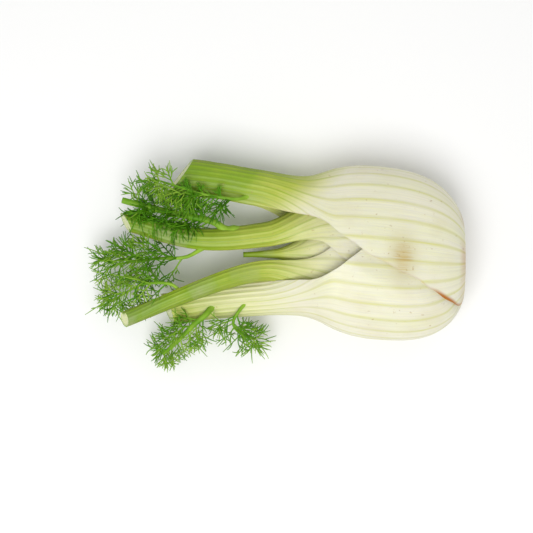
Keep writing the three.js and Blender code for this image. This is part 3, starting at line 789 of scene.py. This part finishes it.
# A leaf base with its stalk: skin, inner face, root end, and a knife-cut face at the stalk's end.
def buildLeaf(leaf, cover):
    places = stations(leaf["rootX"], leaf["stalk"][-1][0], leafShared["alongSteps"])
    points, rib, length, green, dry, rim = [], [], [], [], [], []
    count = leafShared["acrossSteps"] + 1
    for x in places:
        skin, face, phase, greenShare, dryShare = leafSection(leaf, cover, x)
        points += [skin, face[::-1]]
        rib += [phase, phase[::-1]]
        green += [greenShare, 0.8 * greenShare[::-1]]
        dry += [dryShare, dryShare[::-1]]
        length.append(np.full(2 * count, x))
        rim.append(np.ones(2 * count))
    faces = ringFaces(len(places), 2 * count, ends=False)
    faceMaterials = [0] * len(faces)
    # Both ends: strips across from skin to inner face. The stalk's end has its own flesh.
    steps = leafShared["capSteps"]
    toSide = np.abs(np.linspace(-1, 1, count))
    for end, section in ((0, places[0]), (1, places[-1])):
        skin, face, phase, greenShare, _ = leafSection(leaf, cover, section)
        first = sum(len(p) for p in points)
        for k in range(steps + 1):
            share = k / steps
            toEdge = np.minimum(1 - np.abs(2 * share - 1), 1)
            sink = leafShared["cutSink"] * toEdge * np.clip(1 - toSide**6, 0, 1)
            inward = np.stack([sink * (1 if end else -1), 0 * sink, 0 * sink], axis=-1)
            points.append(mix(skin, face, share) + inward)
            rib.append(phase)
            length.append(np.full(count, section))
            green.append(greenShare * (1 - 0.6 * toEdge))
            dry.append(np.zeros(count))
            rim.append(np.maximum(1 - toEdge, toSide**10))
        for k in range(steps):
            for i in range(count - 1):
                a, b = first + k * count + i, first + (k + 1) * count + i
                faces.append((a, b, b + 1, a + 1) if end == 0 else (a, a + 1, b + 1, b))
                faceMaterials.append(end)
    carried = {"rib": rib, "length": length, "green": green, "dry": dry, "rim": rim}
    carried["stainAndShadow"] = [bruiseAndShadow(np.concatenate(points))]
    return addPiece(leaf, points, faces, carried, [skinMaterial, cutMaterial], faceMaterials)


leafCovers = [None, leafOne, None, leafThree]
for leaf, cover in zip(leaves, leafCovers):
    buildLeaf(leaf, cover)
    print("leaf ready:", leaf["piece"])

# The heart: young leaves folded round each other, drawn out to a tip, with lengthwise folds.
heart = {
    "piece": "youngHeartLeaves",
    "node": "heart_of_young_leaves",
    "slot": "heart",
    "rootX": 24,
    "stalk": [(-40, 0, 0), (-66, -1, 0), (-88, -1.6, 0.5)],
    "blendX": (-20, -68),
    "halfWidth": (5.5, 1.6),
    "halfThickness": (5.5, 1.6),
    "lean": 0,
    "tilt": 0,
    "rounds": 120,
    "steps": 90,
    "ribs": 14,
    "folds": 5,
    "foldDepth": 1.1,
    "foldWidth": 0.07,
    "foldTwist": 55,  # mm over which the folds turn by one radian
    "greenFrom": -30,
    "greenRun": 70,
}


def buildHeart():
    points, rib, length, green = [], [], [], []
    places = stations(heart["rootX"], heart["stalk"][-1][0], heart["steps"])
    angle = np.linspace(0, 2 * math.pi, heart["rounds"], endpoint=False)
    for x in places:
        share = stalkShare(heart, x)
        fold = ((angle + x / heart["foldTwist"]) * heart["folds"] / (2 * math.pi)) % 1
        groove = heart["foldDepth"] * np.exp(-((np.minimum(fold, 1 - fold) / heart["foldWidth"]) ** 2))
        groove = groove * mix(1, 0.25, share)
        size = 1 - groove / 6
        onStalk = stalkPoints(heart, 1, x, np.cos(angle) * size, np.sin(angle) * size)
        points.append(mix(eggPoints(heartEgg, x, angle, groove), onStalk, share))
        rib.append(angle * heart["ribs"] / (2 * math.pi))
        length.append(np.full(len(angle), x))
        green.append(np.full(len(angle), np.clip((heart["greenFrom"] - x) / heart["greenRun"], 0, 1)))
    none = [np.zeros(len(places) * len(angle))]
    carried = {"rib": rib, "length": length, "green": green, "dry": none, "stainAndShadow": none}
    return addPiece(heart, points, ringFaces(len(places), len(angle)), carried, [skinMaterial])


buildHeart()
print("heart ready")

# The root plate: (x, half width, half thickness) from the cut face inwards, mm.
rootPlate = {
    "piece": "rootPlateCut",
    "node": "root_plate",
    "slot": "root_plate",
    "sections": [
        (44.2, 15.8, 6.6),
        (42.6, 19.3, 8.4),
        (39.6, 23.2, 10),
        (37.2, 23, 9.8),
        (34, 14.4, 5.4),
        (29, 10, 3.8),
        (25.5, 3, 1.4),
    ],
    "rounds": 96,
    "rings": 14,
    "unevenness": 0.35,  # mm that the cut face stands uneven
    "ringMm": 2.4,
}


def buildRootPlate():
    angle = np.linspace(0, 2 * math.pi, rootPlate["rounds"], endpoint=False)
    points, rim = [], []
    uneven = rootPlate["unevenness"]
    cutX, cutWidth, cutThickness = rootPlate["sections"][0]
    for k in range(1, rootPlate["rings"] + 1):
        share = k / rootPlate["rings"]
        y = bulb["axisAtMiddle"] + bulb["axisSlope"] * cutX + cutWidth * share * np.cos(angle)
        z = cutThickness * share * np.sin(angle)
        grain = np.array([noise.noise(Vector((a * 0.3, b * 0.3, 0))) for a, b in zip(y, z)])
        ridge = 0.15 * math.cos(share * cutWidth / rootPlate["ringMm"] * 2 * math.pi)
        x = cutX - uneven * (1 - share) + 0.3 * uneven * (grain + ridge)
        points.append(np.stack([x, y, z], axis=-1))
        rim.append(np.full(len(angle), share))
    for x, width, thickness in rootPlate["sections"][1:]:
        y = bulb["axisAtMiddle"] + bulb["axisSlope"] * x + width * np.cos(angle)
        points.append(np.stack([np.full(len(angle), x), y, thickness * np.sin(angle)], axis=-1))
        rim.append(np.full(len(angle), 1.0))
    return addPiece(rootPlate, points, ringFaces(len(points), len(angle)), {"rim": rim}, [rootMaterial])


buildRootPlate()
print("root plate ready")

# Fronds: a stem along a smooth line (mm, bulb's frame), side sprays by a seeded rule, and threads on
# the sprays. What most of them share stands here, and a frond's own dictionary may say otherwise.
frondShared = {
    "slot": "frond",
    "radius": (1.3, 0.5),
    "sprays": 11,
    "firstSpray": 0.24,
    "lastSpray": 1,
    "threads": 4,
    "threadLength": 11.5,
    "firstThread": 0.3,
    "rise": 30,
    "forwardLean": 0.85,
    "droopShare": 0.12,
    "archShare": 0.1,
    "floorGap": 0.6,  # lowest thread above the floor, mm
    "boxSpare": 1,  # mm that a thread may reach past the solids' box
    "rootFlare": 0.9,  # how much wider a stem is where it leaves its stalk
    "footBack": 14,  # how far towards the bulb a stem starts inside its stalk, mm
    "footDepth": 0.76,  # of the way from the stalk's middle to its skin
    "stemTone": (1.25, 0.7),
    "tone": (0.74, 0.86),  # at the root and the tip, from dark at 0 to light at 1
    "threadRadius": 0.36,
    "sprayRadius": (0.6, 0.4),
    "stemSteps": 60,
    "stemSides": 12,
    "spraySteps": 8,
    "threadSides": 5,
    "threadSteps": 5,
    "threadTaper": (1, 0.97, 0.93, 0.88, 0.8, 0.45),
    "threadBend": 0.38,
    "forks": (2, 1),  # side threads of each thread, on main and on finer sprays
    "forkSpan": (0.15, 0.55),  # where along a thread they begin, and over how much of it
    "farReach": (1, 0),  # shorter on the upper side, up to this share of the stem
    "fill": (1, 1),  # finer sprays for each main one, at the root and the tip
    "fillReach": (0.6, 0.95),  # length against that of a main spray
    "fillRadius": (0.46, 0.38),
    "fillThreads": 3,
    "fillTurn": (-0.4, 3.5),  # from the lower side at 0 over the top to the upper side at pi
    "fillLift": 0.55,  # how steeply finer sprays rise, against an even spread
}
frondOne = {
    "piece": "frondOverTopStalk",
    "node": "frond_1_over_top_stalk",
    "path": [(-84, 33, 6), (-93, 31, 13.5), (-112, 34, 14), (-128, 39, 12), (-142, 43.5, 8)],
    "reach": 13,
    "threadLength": 12,
    "rise": 18,
    "farReach": (0.42, 0.66),
    "foot": leafOne,
    "fill": (4, 1),
    "fillTurn": (-0.5, 1.3),
    "tone": (0.22, 0.95),
    "seed": 11,
}
frondTwo = {
    "piece": "frondOnThinStem",
    "node": "frond_2_on_thin_side_stem",
    "path": [(-96, 12, 3), (-106, 18, 5), (-122, 21.5, 5.5), (-142, 26, 5.5), (-160, 30.8, 5)],
    "radius": (2.3, 1.9),
    "sprays": 10,
    "threads": 5,
    "reach": 15,
    "rise": 40,
    "lastSpray": 0.86,
    "foot": leafThree,
    "fill": (4, 3),
    "fillTurn": (-0.9, 3.1),
    "fillReach": (0.8, 1.4),
    "tone": (0.4, 0.46),
    "seed": 23,
}
frondThree = {
    "piece": "frondBetweenStalks",
    "node": "frond_3_between_stalks",
    "path": [(-108, 4, 4), (-122, -3, 6), (-140, -4, 4), (-156, -6, -2), (-170, -9, -8)],
    "radius": (1.5, 0.5),
    "threads": 5,
    "reach": 19,
    "threadLength": 13,
    "rise": 45,
    "foot": leafThree,
    "fill": (3, 1),
    "fillTurn": (1.2, 4),
    "fillReach": (0.7, 1.2),
    "tone": (0.45, 0.78),
    "seed": 37,
}
frondFour = {
    "piece": "frondOnLowerStalk",
    "node": "frond_4_on_lower_stalk",
    "path": [(-122, -25, 9), (-131, -19, 12), (-146, -19, 8), (-158, -24, -2), (-168, -30, -11)],
    "sprays": 10,
    "threads": 5,
    "reach": 14,
    "threadLength": 12,
    "rise": 40,
    "foot": leafFour,
    "fillTurn": (-0.2, 3.4),
    "tone": (0.62, 0.78),
    "seed": 41,
}
frondFive = {
    "piece": "frondHangingLow",
    "node": "frond_5_hanging_from_lower_stalk",
    "path": [(-104, -32, -1), (-111, -38, 4.5), (-119, -45, 3), (-128, -54, -4), (-137, -62, -11)],
    "radius": (2.2, 1.1),
    "reach": 14,
    "foot": leafTwo,
    "seed": 59,
}
frondSix = {
    "piece": "frondBesideLowerStalk",
    "node": "frond_6_beside_lower_stalk",
    "path": [(-84, -30, 2), (-91, -36, 5), (-94, -43, 2), (-90, -49, -4), (-81, -53, -10)],
    "sprays": 8,
    "reach": 13,
    "foot": leafTwo,
    "seed": 67,
}
fronds = [frondOne, frondTwo, frondThree, frondFour, frondFive, frondSix]


# Draws between 0 and 1, the same in every run and the same as in the solids.
def seededDraws(seed):
    state = seed

    def draw():
        nonlocal state
        state = (state * 1664525 + 1013904223) % 4294967296
        return state / 4294967296

    return draw


def linePoint(points, t):
    last = len(points) - 1
    at = min(t, 0.9999) * last
    i = math.floor(at)
    f = at - i
    a, b, c, d = [Vector(points[min(max(i + k, 0), last)]) for k in (-1, 0, 1, 2)]
    return (
        a * (0.5 * (-f + 2 * f * f - f**3))
        + b * (0.5 * (2 - 5 * f * f + 3 * f**3))
        + c * (0.5 * (f + 4 * f * f - 3 * f**3))
        + d * (0.5 * (-f * f + f**3))
    )


def branchWay(forward, turn, lean):
    level = Vector((0, 0, 1)).cross(forward).normalized()
    over = forward.cross(level)
    return (forward * lean + level * math.cos(turn) + over * math.sin(turn)).normalized()


# Lifts a point out of the stalks and off the floor, so that threads lie over them.
def layOver(point, clearance):
    for leaf in leaves:
        if point.x > -50 or point.x < leaf["stalk"][-1][0] - 1:
            continue
        middle, way, width, thickness = stalkFrame(leaf, point.x)
        n = (point.y - middle[1]) / (width + clearance)
        m = (point.z - middle[2]) / (thickness + clearance)
        far = math.hypot(n, m)
        if 1e-6 < far < 1:
            point.y = middle[1] + n / far * (width + clearance)
            point.z = middle[2] + m / far * (thickness + clearance)
    lowest = frondShared["floorGap"] + clearance - bulb["centre"][2]
    point.z = max(point.z, lowest)
    return point


# Collects round tapering tubes as one mesh.
class TubeMesh:
    def __init__(self):
        self.points, self.faces, self.tone, self.total = [], [], [], 0

    def add(self, line, radii, sides, tone):
        forward = np.gradient(line, axis=0)
        forward /= np.maximum(np.linalg.norm(forward, axis=1, keepdims=True), 1e-9)
        level = np.cross(np.array([0.13, 0.21, 1.0]), forward)
        level /= np.maximum(np.linalg.norm(level, axis=1, keepdims=True), 1e-9)
        over = np.cross(forward, level)
        angle = np.arange(sides) * 2 * math.pi / sides
        ring = (
            line[:, None, :]
            + radii[:, None, None] * np.cos(angle)[None, :, None] * level[:, None, :]
            + radii[:, None, None] * np.sin(angle)[None, :, None] * over[:, None, :]
        )
        self.points.append(ring.reshape(-1, 3))
        self.faces += ringFaces(len(line), sides, self.total)
        self.tone.append(np.full(len(line) * sides, tone, dtype=float))
        self.total += len(line) * sides


# Whether a point is inside the solids' own box, or as good as.
def insideBox(point):
    spare = frondShared["boxSpare"]
    low, high = [[corner[k] / mm - bulb["centre"][k] for k in range(3)] for corner in cadBox]
    return all(low[k] - spare < point[k] < high[k] + spare for k in range(3))


# One thread: a gently bent line from start along way, laid over what it meets.
def threadLine(start, way, length, bend, steps):
    line = []
    for k in range(steps + 1):
        t = k / steps
        point = start + way * (length * t) + bend * (length * t * t)
        line.append(layOver(point, frondShared["threadRadius"]) if k else point)
    return line


# The point at a share along an evenly spaced line, and the piece of the line that it is on.
def alongLine(line, share):
    at = share * (len(line) - 1)
    i = min(int(at), len(line) - 2)
    return line[i].lerp(line[i + 1], at - i), i


def buildFrond(ownFrond):
    frond = {**frondShared, **ownFrond}
    draw = seededDraws(frond["seed"])
    loose = random.Random(frond["seed"])
    tubes = TubeMesh()

    def growThread(start, way, length, radius, forks, tone):
        while length > 1 and not insideBox(start + way * length):
            length *= 0.85
        most = frond["threadBend"]
        bend = Vector([loose.uniform(-most, most) for _ in range(3)]) + Vector((0, 0, -0.06))
        line = threadLine(start, way, length, bend, frond["threadSteps"])
        radii = radius * np.array(frond["threadTaper"])
        tubes.add(np.array([tuple(p) for p in line]), radii, frond["threadSides"], tone)
        firstFork, span = frond["forkSpan"]
        for k in range(forks):
            along = firstFork + span * (k + loose.uniform(0.1, 0.9)) / forks
            root, i = alongLine(line, along)
            heading = (line[i + 1] - line[i]).normalized()
            turn = (math.pi if k % 2 else 0) + loose.uniform(-0.9, 0.9)
            out = branchWay(heading, turn, loose.uniform(1.1, 2))
            reach = length * (1.05 - along) * loose.uniform(0.75, 1.15)
            growThread(root, out, reach, radius, 0, tone + loose.uniform(-0.12, 0.12))

    # The stem starts as a low ridge just under its stalk's skin and comes out gently.
    first = frond["path"][0]
    footX = first[0] + frond["footBack"]
    middle, _, width, thickness = stalkFrame(frond["foot"], footX)
    n, m = (first[1] - middle[1]) / width, (first[2] - middle[2]) / thickness
    share = frond["footDepth"] / max(math.hypot(n, m), 0.1)
    foot = (footX, middle[1] + n * share * width, middle[2] + m * share * thickness)
    steps = frond["stemSteps"]
    stemLine = np.array([tuple(linePoint([foot] + frond["path"], k / steps)) for k in range(steps + 1)])
    along = np.arange(steps + 1) * len(frond["path"]) / steps  # counted in stretches of the path
    swelling = frond["rootFlare"] * np.exp(-(((along - 0.8) / 0.5) ** 2))
    radii = np.linspace(*frond["radius"], steps + 1) * ((1 + swelling) * np.minimum(1, 0.2 + along))
    stemTone = np.repeat(np.interp(along, (0.6, 2.5), frond["stemTone"]), frond["stemSides"])
    tubes.add(stemLine, radii, frond["stemSides"], stemTone)

    def threadPlace(j, threads):
        return frond["firstThread"] + (1 - frond["firstThread"]) * (j + 0.5) / threads

    def growSpray(start, way, length, turns, lengths, radius, tone, forks):
        to = start + way * length - Vector((0, 0, frond["droopShare"] * length))
        arch = Vector((0, 0, frond["archShare"] * length))
        steps, threads = frond["spraySteps"], len(turns)
        line = [start]
        for k in range(1, steps + 1):
            t = k / steps
            line.append(layOver(start.lerp(to, t) + arch * (4 * t * (1 - t)), radius[0]))
        radii = np.linspace(radius[0], radius[1] * 0.7, steps + 1)
        tubes.add(np.array([tuple(p) for p in line]), radii, frond["threadSides"], tone)
        for j in range(threads):
            root, _ = alongLine(line, threadPlace(j, threads))
            out = branchWay(way, turns[j], frond["forwardLean"])
            growThread(root, out, lengths[j], frond["threadRadius"], forks, tone)
        tip = (line[-1] - line[-2]).normalized()
        growThread(line[-1], tip, lengths[-1], frond["threadRadius"], forks, tone)

    mainForks, fillForks = frond["forks"]
    farShare, upTo = frond["farReach"]
    span = frond["lastSpray"] - frond["firstSpray"]
    for i in range(frond["sprays"]):
        t = frond["firstSpray"] + span * (i + 0.6) / frond["sprays"]
        start = linePoint(frond["path"], t)
        forward = (linePoint(frond["path"], t + 0.02) - linePoint(frond["path"], t - 0.02)).normalized()
        turn = (math.pi if i % 2 else 0) + math.radians(frond["rise"]) * (2 * draw() - 1)
        way = branchWay(forward, turn, frond["forwardLean"])
        length = frond["reach"] * (1.15 - 0.75 * t) * (0.85 + 0.3 * draw())
        far = farShare if i % 2 and t < upTo else 1
        turns, lengths = [], []
        for j in range(frond["threads"]):
            toTip = 1 - 0.35 * threadPlace(j, frond["threads"])
            turns.append((math.pi if j % 2 else 0) + 1.3 * (2 * draw() - 1))
            lengths.append(far * frond["threadLength"] * toTip * (0.75 + 0.5 * draw()))
        tone = mix(*frond["tone"], t)
        ownTone = tone + loose.uniform(-0.25, 0.25)
        growSpray(start, way, far * length, turns, lengths, frond["sprayRadius"], ownTone, mainForks)
        threads = range(frond["fillThreads"])
        for _ in range(round(mix(*frond["fill"], t))):
            place = min(t + loose.uniform(0.1, 0.9) / frond["sprays"], frond["lastSpray"] - 0.1)
            start = linePoint(frond["path"], place)
            way = branchWay(forward, loose.uniform(*frond["fillTurn"]), loose.uniform(0.6, 1.3))
            way.z *= frond["fillLift"]
            reach = length * loose.uniform(*frond["fillReach"])
            turns = [(math.pi if j % 2 else 0) + loose.uniform(-1.2, 1.2) for j in threads]
            lengths = [frond["threadLength"] * loose.uniform(0.6, 1) for _ in threads]
            ownTone = tone + loose.uniform(-0.3, 0.2)
            growSpray(start, way, reach, turns, lengths, frond["fillRadius"], ownTone, fillForks)
    carried = {"tone": tubes.tone}
    return addPiece(frond, tubes.points, tubes.faces, carried, [threadMaterial])


for frond in fronds:
    made = buildFrond(frond)
    print("frond ready:", frond["piece"], len(made.data.polygons), "faces")

# The view layer is brought up to date at the end.
bpy.context.view_layer.update()
